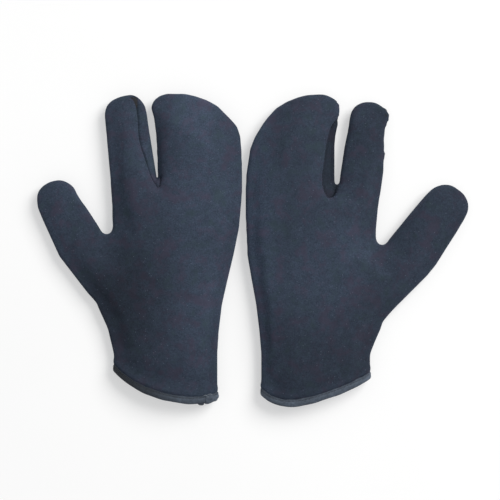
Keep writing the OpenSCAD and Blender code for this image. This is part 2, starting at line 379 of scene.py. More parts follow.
# ---- One glove's outline, seams and heights
class Glove:
    def __init__(self, side):
        self.side = side
        self.ox, self.oy, self.flip = PATTERN[side]
        joints = {joint["name"]: joint for joint in frame["joints"]}
        self.knuckles, self.spans = {}, {}
        for digit in DIGITS:
            pair = [joints[f"{side}_{digit}_{part}_knuckle"] for part in ("base", "middle")]
            # Each knuckle's place, and the way that the digit runs there.
            places = [(np.array(joint["pos_m"][:2]) / MM, turned(np.array(joint["axis"][:2])))
                      for joint in pair]
            (p0, _), (p1, _) = places
            length = min(BLEND, np.linalg.norm(p1 - p0) - 1.5)
            self.knuckles[digit] = places
            self.spans[digit] = [(p - d * length / 2, p + d * length / 2) for p, d in places]
        mask = self.cells_covered()
        self.fit_wrist(mask)
        self.read_outline(mask)
        self.solve_rise()
        crotch = self.pattern([CROTCH[side]])
        near = np.linalg.norm(self.outline - crotch, axis=1) < 16
        self.gap_end = self.outline[near][:, 1].min()
        self.seam_paths = [spline(np.vstack([crotch, self.pattern(table[side])]), 1.3)
                           for table in (INDEX_SEAM, MITT_SEAM)]
        self.gusset = np.vstack([self.seam_paths[0], self.seam_paths[1][::-1]])

    def pattern(self, points):
        """Places in the pattern, as places in the frame."""
        p = np.array(points, float)
        return np.stack([self.ox + self.flip * p[:, 0], self.oy + p[:, 1]], 1)

    def cells_covered(self):
        """The cells that the panels, gussets and binding cover, seen from above."""
        meshes = []
        for name, node in frame["nodes"].items():
            if name.startswith(self.side) and name.split("_")[-1] in ("panel", "gusset", "binding"):
                meshes.append((mesh_points(node.data)[:, :2], mesh_triangles(node.data)))
        self.low = np.min([p.min(0) for p, _ in meshes], axis=0) - (MARGIN, MARGIN + WRIST_ROOM)
        high = np.max([p.max(0) for p, _ in meshes], axis=0) + MARGIN
        nx, ny = np.ceil((high - self.low) / CELL).astype(int)
        mask = np.zeros((ny, nx), bool)
        for points, triangles in meshes:
            for corners in ((points - self.low) / CELL)[triangles]:
                if signed_area(*corners) < 1e-6:
                    continue
                x0, y0 = np.floor(corners.min(0)).astype(int)
                x1, y1 = np.ceil(corners.max(0)).astype(int) + 1
                cells = np.stack(np.meshgrid(np.arange(x0, x1), np.arange(y0, y1)), -1)
                within = [signed_area(corners[i - 1], corners[i], cells) >= -1e-9 for i in range(3)]
                mask[y0:y1, x0:x1] |= np.all(within, axis=0)
        return close(mask, 1)

    def fit_wrist(self, mask):
        """Finds the cuff's edge, and adds a wrist below it so that its section is an open tube."""
        cuff_low, cuff_high = [np.array(c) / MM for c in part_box(f"{self.side}_cuff_binding")]
        wx, wy = [low + np.arange(n) * CELL for low, n in zip(self.low, mask.shape[::-1])]
        lowest = np.where(mask.any(0), mask.argmax(0), len(wy))
        use = (wx > cuff_low[0] + 2.5) & (wx < cuff_high[0] - 2.5)
        self.cuff_x = (wx[use][0], wx[use][-1])
        self.cuff_fit = np.polyfit(wx[use] - wx[use][0], self.low[1] + lowest[use] * CELL, 4)
        y_open = self.cuff_y(np.array([cuff_low[0] + 1, cuff_high[0] - 1])) + 1.5
        self.wrist_fits = []
        for end, y_end in zip((0, -1), y_open):
            span = (wy > y_end) & (wy < y_end + 14)
            at_wrist = (wx > cuff_low[0] - 4) & (wx < cuff_high[0] + 4)
            edge_x = [wx[row & at_wrist][end] for row in mask[span]]
            self.wrist_fits.append(np.polyfit(wy[span], edge_x, 1))
        gx, gy = np.meshgrid(wx, wy)
        left, right = [np.polyval(fit, gy) for fit in self.wrist_fits]
        mask |= (gy < max(y_open) + 3) & (gx >= left) & (gx <= right) & (gy > self.low[1] + 4)
        below_fingers = gy < min(self.knuckles[digit][0][0][1] for digit in ("index", "fingers")) - 30
        mask |= close(mask, int(WEB / CELL)) & below_fingers

    def cuff_y(self, x):
        """The cuff's edge, carried straight on for a little beyond the wrist's sides."""
        a, b = self.cuff_x
        near = np.clip(x, a, b) - a
        slope = np.polyval(np.polyder(self.cuff_fit), near)
        return np.polyval(self.cuff_fit, near) + slope * (np.clip(x, a - 10, b + 10) - a - near)

    def above_cuff(self, pts):
        return pts[:, 1] - self.cuff_y(pts[:, 0])

    def cuff_line(self, x, t):
        """Points that far above the cuff's edge."""
        return np.stack([x, self.cuff_y(x) + t], 1)

    def read_outline(self, mask):
        self.field = blur(mask.astype(float), 0.7 / CELL)
        line = contour(self.field) * CELL + self.low
        line = resample(smooth_loop(resample(line, 0.8, True), 9), 1.5, True)
        if signed_area(np.zeros(2), line, np.roll(line, -1, 0)).sum() < 0:
            line = line[::-1]
        self.outline = self.stand_out(line)
        self.edge = Line(self.outline, True)

    def stand_out(self, line):
        """The outline with its padded tips, and with its rough seam ends."""
        out = -turned(unit(np.roll(line, -1, 0) - np.roll(line, 1, 0)))
        line = line + out * PLUMP
        for centre, radius, far in BULGES[self.side]:
            away = np.linalg.norm(line - self.pattern([centre]), axis=1)
            line = line + out * (far * hump(away, radius))[:, None]
        for centre, radius in TUFTS[self.side]:
            away = np.linalg.norm(line - self.pattern([centre]), axis=1)
            bulk = np.clip(0.8 + 1.1 * ripple(line, 2.6, 4.4), 0, 1.7)
            line = line + out * (bulk * np.exp(-(away / radius) ** 6))[:, None]
        return line

    def solve_rise(self):
        """Fields that rise from 0 at the outline to 1 far inside it, one steep, one gentle."""
        f = self.field[::2, ::2] > 0.5
        self.step = CELL * 2
        self.fields = []
        gy, gx = np.indices(f.shape)
        for reach, relax, rounds in ((REACH, 1.85, 260), (DOME_REACH, 1.93, 420)):
            k = (reach / self.step) ** 2
            u = f * 0.5
            for _ in range(rounds):
                for colour in (0, 1):
                    near = np.zeros_like(u)
                    near[1:-1, 1:-1] = u[:-2, 1:-1] + u[2:, 1:-1] + u[1:-1, :-2] + u[1:-1, 2:]
                    sel = f & ((gx + gy) % 2 == colour)
                    u[sel] += relax * ((1 + k * near[sel]) / (1 + 4 * k) - u[sel])
            self.fields.append(u)

    def rise(self, pts):
        """(steep rise, gentle rise, depth) at points inside the outline."""
        depth, foot = self.edge.nearest(pts)
        # Close to the outline the grid is too coarse, so the rise is read further in.
        inner = 2.5
        moved = pts + unit(pts - foot) * np.clip(inner - depth, 0, inner)[:, None]
        at = (moved - self.low) / self.step
        cell = np.clip(at.astype(int), 0, np.array(self.fields[0].shape[::-1]) - 2)
        a, b = (at - cell).T
        x, y = cell.T
        values = []
        for u in self.fields:
            val = (u[y, x] * (1 - a) * (1 - b) + u[y, x + 1] * a * (1 - b)
                   + u[y + 1, x] * (1 - a) * b + u[y + 1, x + 1] * a * b)
            values.append(np.clip(val * np.minimum(depth / inner, 1), 0, 1))
        return values[0], values[1], depth

    def heights(self, pts):
        """Height of the palm panel and of the back panel over each point."""
        steep, gentle, depth = self.rise(pts)
        above = self.above_cuff(pts)
        wrist = 1 - smoothstep(5, 90, above)
        crown = CROWN + (WRIST_CROWN - CROWN) * wrist
        dome = DOME + (WRIST_DOME - DOME) * wrist
        rise = crown * steep ** 0.52 + dome * gentle
        if self.side == "left":
            # The thumb's side of this glove lies lower than the rest.
            across = pts[:, 0] - self.ox
            rise *= 1 - 0.26 * smoothstep(-2, -52, across) * (1 - smoothstep(95, 175, above))
        uneven = 0.9 * ripple(pts, 46, 3.1) + 0.35 * ripple(pts, 17, 8.7)
        top = SEAM_Z + rise + smoothstep(3, 14, depth) * uneven
        # The back lies on the floor, but for its rounded edges and the cuff, which is lifted.
        lift = CUFF_LIFT * (1 - smoothstep(8, 26, above)) + LOWEST
        free = SEAM_Z - BELLY * steep ** 0.5 - lift
        bottom = lift + (free + np.sqrt(free * free + 1.2)) / 2
        bottom = np.where(depth < 1e-3, SEAM_Z, np.minimum(bottom, SEAM_Z))
        return top, bottom

    def on_index_side(self, pts):
        gap = self.pattern(GAP[self.side])
        return (pts[:, 0] - np.interp(pts[:, 1], gap[:, 1], gap[:, 0])) * self.flip < 0

    def regions(self, pts):
        """Which piece each point belongs to, as an index into REGIONS."""
        out = np.zeros(len(pts), int)
        index_side = self.on_index_side(pts)
        for k, digit in enumerate(DIGITS):
            (p0, d0), (p1, d1) = self.knuckles[digit]
            beyond = (pts - self.spans[digit][0][0]) @ d0 > 0
            mine = beyond & (np.abs((pts - p0) @ turned(d0)) < HALF_WIDTH[digit])
            if digit != "thumb":
                mine &= index_side if digit == "index" else ~index_side
            tip = (pts - (p0 + p1) / 2) @ d1 > 0
            out[mine & ~tip] = 1 + 2 * k
            out[mine & tip] = 2 + 2 * k
        return out


# ---- The triangulation of a glove, seen from above
def upper_outline(g):
    """The outline above the cuff, starting at its +X end and running round the fingers."""
    ok = g.above_cuff(g.outline) > TAPE_T
    start = int(np.nonzero(ok & ~np.roll(ok, 1))[0][0])
    return np.roll(g.outline, -start, 0)[:int(np.argmin(np.roll(ok, -start)))]


def usable(g, boundary, pts, least):
    """The points that lie inside the boundary, and at least so far from the outline."""
    pts = pts[inside_polygon(pts, boundary)]
    if not len(pts):
        return pts
    d, _ = g.edge.nearest(pts)
    return pts[(d > least) & (g.above_cuff(pts) > TAPE_T + 0.35)]


def rows_beside(path):
    n = turned(unit(np.gradient(path, axis=0)))
    return [path + n * d * way for d in SEAM_ROWS for way in (1, -1)]


def plain_grid(g, boundary):
    """A triangular grid of points, kept clear of the rows at the outline."""
    low, high = boundary.min(0), boundary.max(0)
    grid = []
    for r, y in enumerate(np.arange(low[1], high[1], PITCH * 0.866)):
        x = np.arange(low[0], high[0], PITCH) + (PITCH / 2 if r % 2 else 0)
        grid.append(np.stack([x, np.full(len(x), y)], 1))
    grid = np.vstack(grid)
    grid = grid[inside_polygon(grid, boundary)]
    depth, _ = g.edge.nearest(grid)
    return grid[(depth > FIRST_FREE) & (g.above_cuff(grid) > 1.5)]


def triangulate(points, n_boundary, n_run, seams):
    """Points, triangles and which points are on the rim, with the seams along edges."""
    index = {tuple(p): i for i, p in enumerate(points)}
    edges = [(i, (i + 1) % n_boundary) for i in range(n_boundary)]
    for path in seams:
        ids = [index[tuple(p)] for p in path if tuple(p) in index]
        edges += list(zip(ids[:-1], ids[1:]))
    verts, _, faces, origin, _, _ = delaunay_2d_cdt(
        [Vector(p) for p in points], edges, [list(range(n_boundary))], 1, 1e-4)
    pts = np.array([tuple(v) for v in verts])
    rim = np.array([any(i < n_run for i in o) for o in origin])
    tri = np.array([f for f in faces if len(f) == 3])
    clockwise = signed_area(*pts[tri].transpose(1, 0, 2)) < 0
    return pts, np.where(clockwise[:, None], tri[:, ::-1], tri), rim


def plan(g):
    """Lays out the points, the most important rows first, and triangulates them."""
    run = upper_outline(g)
    x_right, x_left = run[0][0], run[-1][0]
    cuff_x = np.linspace(x_left, x_right, int((x_right - x_left) / 1.7))[1:-1]
    boundary = np.vstack([run, g.cuff_line(cuff_x, TAPE_T)])
    tangent = np.roll(run, -1, 0) - np.roll(run, 1, 0)
    tangent[0], tangent[-1] = run[1] - run[0], run[-1] - run[-2]
    inward = turned(unit(tangent))
    paths = [path[inside_polygon(path, boundary)] for path in g.seam_paths]
    g.seams = [Line(path) for path in paths]
    seams = [usable(g, boundary, path, 0.1) for path in paths]
    groups = [(boundary, 0.0)] + [(path, 0.3) for path in seams]
    for d in RINGS:
        ring = run[1:-1] + inward[1:-1] * d
        groups.append((usable(g, boundary, ring, 0.8 * d), 0.25 if d < 1 else 0.55))
    for path in paths:
        groups += [(usable(g, boundary, row, 0.5), 0.4) for row in rows_beside(path)]
    for t in TAPE_ROWS:
        groups.append((usable(g, boundary, g.cuff_line(cuff_x, TAPE_W + t), 0.5), 0.55))
    groups.append((plain_grid(g, boundary), 1.5))
    return triangulate(spaced(groups), len(boundary), len(run), seams)


# ---- Shells: the outer fabric and the lining, split where the pieces ride on different bodies
def open_loop(faces):
    """The points round the mesh's one opening, in order."""
    edges = {(f[i - 1], f[i]): True for f in faces.tolist() for i in (1, 2, 0)}
    ends = {b: a for a, b in edges if (b, a) not in edges}
    loop = [next(iter(ends))]
    while ends[loop[-1]] != loop[0]:
        loop.append(ends[loop[-1]])
    return loop


def set_as_cloth(obj):
    """Stiff cloth without weight, with a little pressure inside."""
    cloth = obj.modifiers.new("cloth", "CLOTH")
    use = cloth.settings
    use.quality, use.mass = 5, 0.3
    use.tension_stiffness = use.compression_stiffness = use.shear_stiffness = 12
    use.bending_stiffness = 1.2
    use.use_pressure, use.uniform_pressure_force = True, 2.5
    use.effector_weights.gravity = 0
    cloth.collision_settings.use_collision = False
    cloth.point_cache.frame_start, cloth.point_cache.frame_end = 1, SIM_FRAMES


def blown_up(co, faces):
    """How far each point moves when the glove, as cloth, takes up a little pressure."""
    still = np.zeros_like(co)
    # The cuff is closed with a fan, and the whole is remeshed evenly.
    loop = open_loop(faces)
    fan = np.array([(len(co), loop[i - 1], loop[i]) for i in range(len(loop))])
    obj = make_mesh("blown_up", np.vstack([co, co[loop].mean(0)]), np.vstack([faces, fan]))
    remesh = obj.modifiers.new("even", "REMESH")
    remesh.mode, remesh.voxel_size = "VOXEL", SIM_CELL * MM
    deps = bpy.context.evaluated_depsgraph_get()
    even = bpy.data.meshes.new_from_object(obj.evaluated_get(deps))
    obj.modifiers.clear()
    obj.data = even
    start = mesh_points(even)
    set_as_cloth(obj)
    scene = bpy.context.scene
    for f in range(1, SIM_FRAMES + 1):
        scene.frame_set(f)
    deps = bpy.context.evaluated_depsgraph_get()
    done = bpy.data.meshes.new_from_object(obj.evaluated_get(deps))
    move = mesh_points(done) - start
    scene.frame_set(1)
    bpy.data.objects.remove(obj)
    # Only the unevenness is kept: the movement along the normal, less its middle value.
    out = vertex_normals(start, mesh_triangles(done))
    along = (move * out).sum(1)
    along -= np.median(along)
    move = out * (SIM_CAP * np.tanh(along / SIM_CAP))[:, None]
    tree = tree_of(start)
    for k, q in enumerate(co):
        near = tree.find_n(q, 6)
        w = np.array([1 / (d + 0.8) ** 2 for _, _, d in near])
        still[k] = (move[[i for _, i, _ in near]] * w[:, None]).sum(0) / w.sum()
    return still


class Skin:
    """A glove's outer surface: the palm side's points, then the back side's but for the rim."""

    def __init__(self, g):
        self.g = g
        pts, tri, rim = plan(g)
        top, bottom = g.heights(pts)
        top[rim] = bottom[rim] = SEAM_Z
        n, n_back = len(pts), (~rim).sum()
        under = np.arange(n)
        under[~rim] = n + np.arange(n_back)
        self.co = np.vstack([np.column_stack([pts, top]), np.column_stack([pts, bottom])[~rim]])
        self.faces = np.vstack([tri, under[tri][:, ::-1]])
        self.face_up = np.arange(len(self.faces)) < len(tri)
        self.flat = np.vstack([pts, pts[~rim]])
        self.rim = np.concatenate([rim, np.zeros(n_back, bool)])
        self.upper = np.arange(n + n_back) < n
        self.depth, self.foot = g.edge.nearest(self.flat)
        self.above = g.above_cuff(self.flat)
        # Each seam: how far away it is, the nearest place on it, and where it can be seen.
        self.seams = []
        for k, seam in enumerate(g.seams):
            away, foot = seam.nearest(self.flat)
            seen = ~self.upper | (k == TOP_SEAM[g.side]) | (self.flat[:, 1] < g.gap_end + 1)
            self.seams.append((away, foot, seen))

    def normals(self):
        return vertex_normals(self.co, self.faces)

    def move(self, by):
        self.co = self.co + by
        self.co[:, 2] = np.maximum(self.co[:, 2], LOWEST)

    def swell(self):
        """Adds what the cloth simulation finds, held at the outline and at the cuff."""
        hold = smoothstep(0.5, 7, self.depth) * smoothstep(9, 24, self.above)
        self.move(blown_up(self.co, self.faces) * hold[:, None])

    def sew(self):
        """Draws the seams in, hollows the right-hand strip and presses in the tape's edge."""
        push = np.zeros(len(self.co))
        for away, _, seen in self.seams:
            groove = sum(deep * hump(away, wide) for deep, wide in GROOVES)
            push -= groove * smoothstep(0.0, 5.0, self.depth) * seen
        push = np.maximum(push, -2.0)
        push[self.rim] -= 0.5
        g = self.g
        if g.side == "right":
            # The strip on the mitt's side is hollow: the panel beside it stands over it.
            away = self.seams[TOP_SEAM[g.side]][0]
            strip = inside_polygon(self.flat, g.gusset) & self.upper & ~g.on_index_side(self.flat)
            below_tip = smoothstep(266, 254, self.flat[:, 1] - g.oy)
            sunk = smoothstep(0.1, 1.6, away) * smoothstep(0.3, 2.6, self.depth)
            push -= HOLLOW * sunk * strip * below_tip
        push += 0.55 * hump(self.above - TAPE_W - 3.3, 2.4) - 0.5 * hump(self.above - TAPE_W + 1.1, 1.4)
        self.move(self.normals() * push[:, None])

    def fabric_painted_light_and_shade(self):
        """How much of its colour the fabric keeps, which is painted light and shade: painted shade at the
        wrist and towards the thumb, painted light towards the little finger's side.
        """
        across = (self.flat[:, 0] - self.g.ox) * self.g.flip
        along = self.flat[:, 1] - self.g.oy
        # Painted shade: the wrist is darkened by up to a fifth.
        keep = 1 - 0.2 * (1 - smoothstep(20, 120, self.above))
        if self.g.side == "left":
            # Painted shade towards the thumb, painted light towards the little finger's side.
            keep *= 1 - 0.44 * hump(across + 38, 46) * hump(along - 112, 58)
            keep *= 1 + 0.22 * hump(across - 30, 22)
        else:
            # Painted light in the palm's middle and on the little finger's side, painted shade towards the
            # thumb.
            keep *= 0.84 + 0.22 * hump(along - 135, 50) * hump(across + 12, 60)
            keep *= 1 + 0.5 * smoothstep(28, 52, across)
            keep *= 0.88 + 0.12 * smoothstep(-60, -25, across)
        return keep

    def knit_places_and_painted_shading(self, normal):
        """Where each point is in the fabric, along its length and width, and the painted light and shade
        on its colour.
        """
        side = unit(np.where(self.rim[:, None], normal[:, :2], self.foot - self.flat))
        # Beside the outline the fabric is steep, so more of its length is there.
        d = np.linspace(0, FIRST_FREE, 400)
        s = length_along(np.column_stack([d, 8.0 * (d / FIRST_FREE) ** 0.55]))
        left = np.interp(self.depth, d, s[-1] - s)
        shift = np.maximum(left - np.maximum(FIRST_FREE - self.depth, 0), 0)
        return np.column_stack([self.flat + side * shift[:, None], self.fabric_painted_light_and_shade()])

    def seam_places(self):
        """How far each point is from the nearest seam, and how far along that seam."""
        best = np.hypot(self.depth, np.abs(self.co[:, 2] - SEAM_Z))
        along = along_line(self.g.outline, self.foot)
        for path, (away, foot, seen) in zip(self.g.seam_paths, self.seams):
            closer = (away < best) & seen
            best = np.where(closer, away, best)
            along = np.where(closer, along_line(path, foot), along)
        return np.column_stack([np.minimum(best, 12), along, np.zeros(len(along))])

    def in_gusset(self, centre):
        """Which faces belong to the gusset: on top, only the strip that shows."""
        g = self.g
        shows = g.on_index_side(centre) == (TOP_SEAM[g.side] == 0)
        below_gap = centre[:, 1] < g.gap_end
        return inside_polygon(centre, g.gusset) & (~self.face_up | shows | below_gap)


def bends(g, obj, region):
    """Makes a hand piece move with its body; any other piece stays where it is, with its transform baked
    into its points.
    """
    if region == "hand":
        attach(obj, f"{g.side}_hand")
        return
    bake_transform(obj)


def build_shells(g):
    skin = Skin(g)
    skin.swell()
    skin.sew()
    co, faces, normal = skin.co, skin.faces, skin.normals()
    # The cloth attribute's third value is the painted light and shade on the fabric's colour.
    places = {"rest": co, "cloth": skin.knit_places_and_painted_shading(normal), "seam": skin.seam_places()}
    centre = skin.flat[faces].mean(1)
    region, in_gusset = g.regions(centre), skin.in_gusset(centre)
    inner = co - normal * WALL
    # The right-hand strip lies in a fold; painted shade darkens its colour (shade 0.55) and spreads the
    # seam's painted shade across it (3.6 mm).
    strip_cloth = ("gusset_jersey",) if g.side == "left" else ("gusset_jersey_painted_shade", 0.55, 3.6)
    for r, name in enumerate(REGIONS):
        here = region == r
        shell = submesh(f"{g.side}_{name}_shell", co, faces[here & ~in_gusset], places, normal)
        shell.data.materials.append(jersey("neoprene_jersey"))
        lining = submesh(f"{g.side}_{name}_inner", inner, faces[here][:, ::-1], places, -normal)
        lining.data.materials.append(plush())
        bends(g, shell, name)
        bends(g, lining, name)
        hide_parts(f"{g.side}_{name}_palm_panel", f"{g.side}_{name}_back_panel")
        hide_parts(f"{g.side}_{name}_lining")
        if (here & in_gusset).any():
            strip = submesh(f"{g.side}_{name}_fourchette", co, faces[here & in_gusset], places, normal)
            strip.data.materials.append(jersey(*strip_cloth))
            bends(g, strip, name)
            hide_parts(f"{g.side}_{name}_gusset")


# ---- Cuff tape, its stitches and its loose ends
class CuffSurface:
    """The wrist's surface as a function of s, in turns round the cuff, and t, up the glove."""
    count = 260               # points in each row
    t = np.linspace(-4, 12, 17)
    edge_row = 4              # the row at the cuff's edge, where t is 0

    def __init__(self, g):
        self.p = np.array([self.row(g, t) for t in self.t])
        along = np.roll(self.p, -1, 1) - np.roll(self.p, 1, 1)
        self.n = unit(np.cross(along, np.gradient(self.p, axis=0)))
        self.edge = self.p[self.edge_row]
        self.length = np.linalg.norm(np.roll(self.edge, -1, 0) - self.edge, axis=1).sum()
        if ((self.edge - self.edge.mean(0)) * self.n[self.edge_row]).sum() < 0:
            self.n = -self.n

    def row(self, g, t):
        """Points round the wrist, over the palm side and back under, t above the cuff's edge."""
        ends = []
        for fit in g.wrist_fits:
            y = g.cuff_y(np.array([g.low[0] + 40.0]))[0]
            for _ in range(12):
                x = np.polyval(fit, y)
                y = g.cuff_y(x) + t
            ends.append(x)
        middle, half = sum(ends) / 2, (ends[1] - ends[0]) / 2
        x = middle - half * np.cos(np.linspace(0, math.pi, 500)) * 0.9995
        p = g.cuff_line(x, t)
        top, bottom = g.heights(p)
        loop = np.vstack([np.column_stack([p, top]), np.column_stack([p, bottom])[::-1]])
        return smooth_loop(resample(loop, closed=True, count=self.count), 3)

    def at(self, s, t, h):
        """Points at s and t that are h out of the fabric, and the fabric's normal there."""
        i = (np.asarray(s) % 1.0) * self.count
        i0 = i.astype(int) % self.count
        i1 = (i0 + 1) % self.count
        fi = (i - np.floor(i))[:, None]
        j = np.clip((np.asarray(t) - self.t[0]) / (self.t[1] - self.t[0]), 0, len(self.t) - 1.001)
        j0 = j.astype(int)
        fj = (j - j0)[:, None]

        def mix(a):
            low = a[j0, i0] * (1 - fi) + a[j0, i1] * fi
            high = a[j0 + 1, i0] * (1 - fi) + a[j0 + 1, i1] * fi
            return low * (1 - fj) + high * fj

        n = unit(mix(self.n))
        return mix(self.p) + n * np.asarray(h)[:, None], n


def tape_profile(lift):
    """The folded tape in section, from its outer free edge round the cuff to its inner one,
    as (up the glove, out of the fabric)."""
    thick = TAPE_T + lift
    outer = [(0.0, 0.0), (-0.02, 0.35), (0.12, thick - 0.1), (0.5, thick), (1.0, thick - 0.08),
             (STITCH_IN, thick - 0.22), (1.9, thick - 0.08), (2.6, thick + 0.05), (3.6, thick + 0.1)]
    under = -WALL - 0.95 * TAPE_T
    inner = [(4.2, under), (3.0, under), (2.0, under), (1.0, under), (0.3, -WALL - 0.9 * TAPE_T),
             (0.0, -WALL - 0.3), (0.0, -WALL + 0.1)]
    outer, inner = [[(TAPE_W - down, h) for down, h in part] for part in (outer, inner)]
    radius = WALL / 2 + thick
    fold = [(3.0 - radius * math.sin(a), radius * math.cos(a) - WALL / 2)
            for a in np.linspace(0.05, math.pi - 0.05, 13)]
    return np.array(outer + fold + inner)


def tape_painted_shade(x):
    """Painted light and shade on the tape: the left-hand glove's tape is darker towards the thumb, and the
    right-hand glove's is lighter throughout.
    """
    if x[0] > 0:
        return np.full(len(x), 1.3)
    return 0.3 + 0.8 * smoothstep(-35, 25, x - PATTERN["left"][0])


def tape_row(surface, profile, turn, lift, rumple):
    """One section of the tape, waved by its stitches and by wear."""
    w = turn * surface.length
    wave = 0.34 * rough(w / 4.5, lift * 9, 1.7) + 0.1 * math.sin(w * 2 * math.pi / STITCH)
    wave += rumple * rough(w / 2.2, 3.3, lift * 5)
    edge = 0.7 * rough(w / 10.0, 5.1, lift) + 0.35 * rough(w / 3.4, 7.7, lift)
    sway = 0.8 * rough(w / 14.0, 2.2, lift * 3) + rumple * rough(w / 3, 0.4, 9)
    t, h = profile.T
    free = np.clip((t - 4.0) / 3.5, 0, 1)
    hem = np.clip((3.6 - t) / 3.5, 0, 1)
    t = t + edge * free + sway * hem
    crease = np.array([rough(w / 2.6, x / 2.1, 6.0 + lift) for x in t])
    h = h + np.where(h > 0.2, wave * (0.45 + 0.55 * free) + rumple * 1.5 * crease, 0)
    co, _ = surface.at(np.full(len(t), turn), t, h)
    return co, np.column_stack([np.full(len(t), w), length_along(profile), tape_painted_shade(co[:, 0])])


def sweep_tape(surface, name, start, end, lift, rumple=0.0):
    """The tape from one turn of the cuff to another."""
    closed = end - start >= 0.999
    count = max(4, int(surface.length * (end - start) / 0.9))
    turns = start + (end - start) * (np.arange(count) / count if closed else np.linspace(0, 1, count))
    profile = tape_profile(lift)
    rows, cloth = zip(*[tape_row(surface, profile, turn, lift, rumple) for turn in turns])
    m, k = len(rows), len(profile)
    co, cloth = np.vstack(rows), np.vstack(cloth)
    tri = []
    for i in range(m if closed else m - 1):
        for j in range(k - 1):
            a, b = i * k + j, ((i + 1) % m) * k + j
            tri += [(a, a + 1, b + 1), (a, b + 1, b)]
    if not closed:
        for first, order in ((0, 1), ((m - 1) * k, -1)):
            hub = len(co)
            co = np.vstack([co, co[first:first + k].mean(0)])
            cloth = np.vstack([cloth, cloth[first:first + k].mean(0)])
            tri += [(first + j, hub, first + j + 1)[::order] for j in range(k - 1)]
    return make_mesh(name, co, tri, {"rest": co, "cloth": cloth})


def add_tube(verts, tris, path, across, up, sides, turn=0.0):
    """Adds a closed tube along a path; across and up are half of each ring's size."""
    base, steps = len(verts), len(path)
    for k in range(steps):
        for a in range(sides):
            angle = 2 * math.pi * (a + turn) / sides
            verts.append(path[k] + math.cos(angle) * across[k] + math.sin(angle) * up[k])
    for k in range(steps - 1):
        for a in range(sides):
            p, q = base + k * sides + a, base + k * sides + (a + 1) % sides
            tris += [(p, q, q + sides), (p, q + sides, p + sides)]
    for first, order in ((base, -1), (base + (steps - 1) * sides, 1)):
        ring = [first + a for a in range(sides)][::order]
        tris += [(ring[0], ring[a], ring[a + 1]) for a in range(1, sides - 1)]


def stitches(surface, name, h):
    """A line of lock stitches round the tape: short threads that dive into it."""
    count = int(surface.length / STITCH)
    u = np.linspace(0, 1, 7)
    bow = np.sin(u * math.pi)
    radius = (THREAD * (0.55 + 0.45 * bow ** 0.5))[:, None]
    verts, tris = [], []
    for i in range(count):
        slant = TAPE_W - STITCH_IN + 0.12 * math.sin(i * 2.4) + 0.16 * (u - 0.5)
        path, n = surface.at((i + 0.1 + 0.76 * u) / count, slant, h + 0.2 * bow ** 0.6 * np.sign(h))
        side = np.cross(n, unit(np.gradient(path, axis=0)))
        add_tube(verts, tris, path, radius * side, radius * n, 6)
    co = np.array(verts)
    return make_mesh(name, co, tris, {"rest": co, "cloth": co})


def loose_end(surface, name, s, t, width, length, thick, hangs=False):
    """A short thread that curls off the cuff, or a scrap of tape that hangs below it."""
    u = np.linspace(0, 1, 9)
    bend, way = (0.5, -1) if hangs else (1.3, 1)
    path, n = surface.at(s - u * length * (0.25 + bend * u * 0.5) / surface.length,
                         t + way * u * length * (0.75 - 0.4 * u * bend),
                         2 * TAPE_T + 0.35 + 1.6 * u * (1 - u))
    if hangs:
        root, _ = surface.at(np.array([s]), np.array([1.9]), np.array([-0.8]))
        path = root - length * np.column_stack([0.2 * u, 0.9 * u, 0.5 * u * u])
    along = unit(np.gradient(path, axis=0))
    side = unit(np.cross(n, along))
    size = 0.35 + 0.65 * np.minimum(1, 3 * (1 - u) + 0.35)[:, None]
    size[0] = 0.7
    verts, tris = [], []
    add_tube(verts, tris, path, size * width * side, size * thick * np.cross(along, side), 8, 0.5)
    co = np.array(verts)
    cloth = np.column_stack([co[:, :2], np.ones(len(co))])
    return make_mesh(name, co, tris, {"rest": co, "cloth": cloth})


def build_cuff(g):
    surface = CuffSurface(g)
    tape = sweep_tape(surface, f"{g.side}_cuff_tape", 0.0, 1.0, 0.0)
    tape.data.materials.append(tape_cloth())
    outside = stitches(surface, f"{g.side}_cuff_stitches_out", TAPE_T - 0.1)
    inside = stitches(surface, f"{g.side}_cuff_stitches_in", -WALL - TAPE_T + 0.05)
    for obj in (tape, outside, inside):
        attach(obj, f"{g.side}_hand")
    for obj in (outside, inside):
        obj.data.materials.append(thread())
    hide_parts(f"{g.side}_cuff_binding")
    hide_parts(f"{g.side}_cuff_thread")
    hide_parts(f"{g.side}_cuff_thread")
    if g.side == "left":
        build_lap(g, surface)


def build_lap(g, surface):
    """The tape's free end, lapped over its start beside the little finger's edge."""
    palm_side = surface.edge[:surface.count // 2, 0]
    start = np.argmin(np.abs(palm_side - (g.ox + LAP_X))) / surface.count
    lap = sweep_tape(surface, "left_cuff_tape_end", start, start + LAP_TURN, TAPE_T * 0.9, 0.8)
    tail = loose_end(surface, "left_cuff_tape_tail", start - 0.016, 0.0, 2.9, 3.4, 0.5, hangs=True)
    for obj in (lap, tail):
        obj.data.materials.append(tape_cloth())
        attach(obj, "left_hand")
    for k, (shift, t, length) in enumerate(THREAD_ENDS):
        bit = loose_end(surface, f"left_cuff_thread_end_{k}", start + shift, t, 0.16, length, 0.16)
        bit.data.materials.append(pale_thread())
        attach(bit, "left_hand")


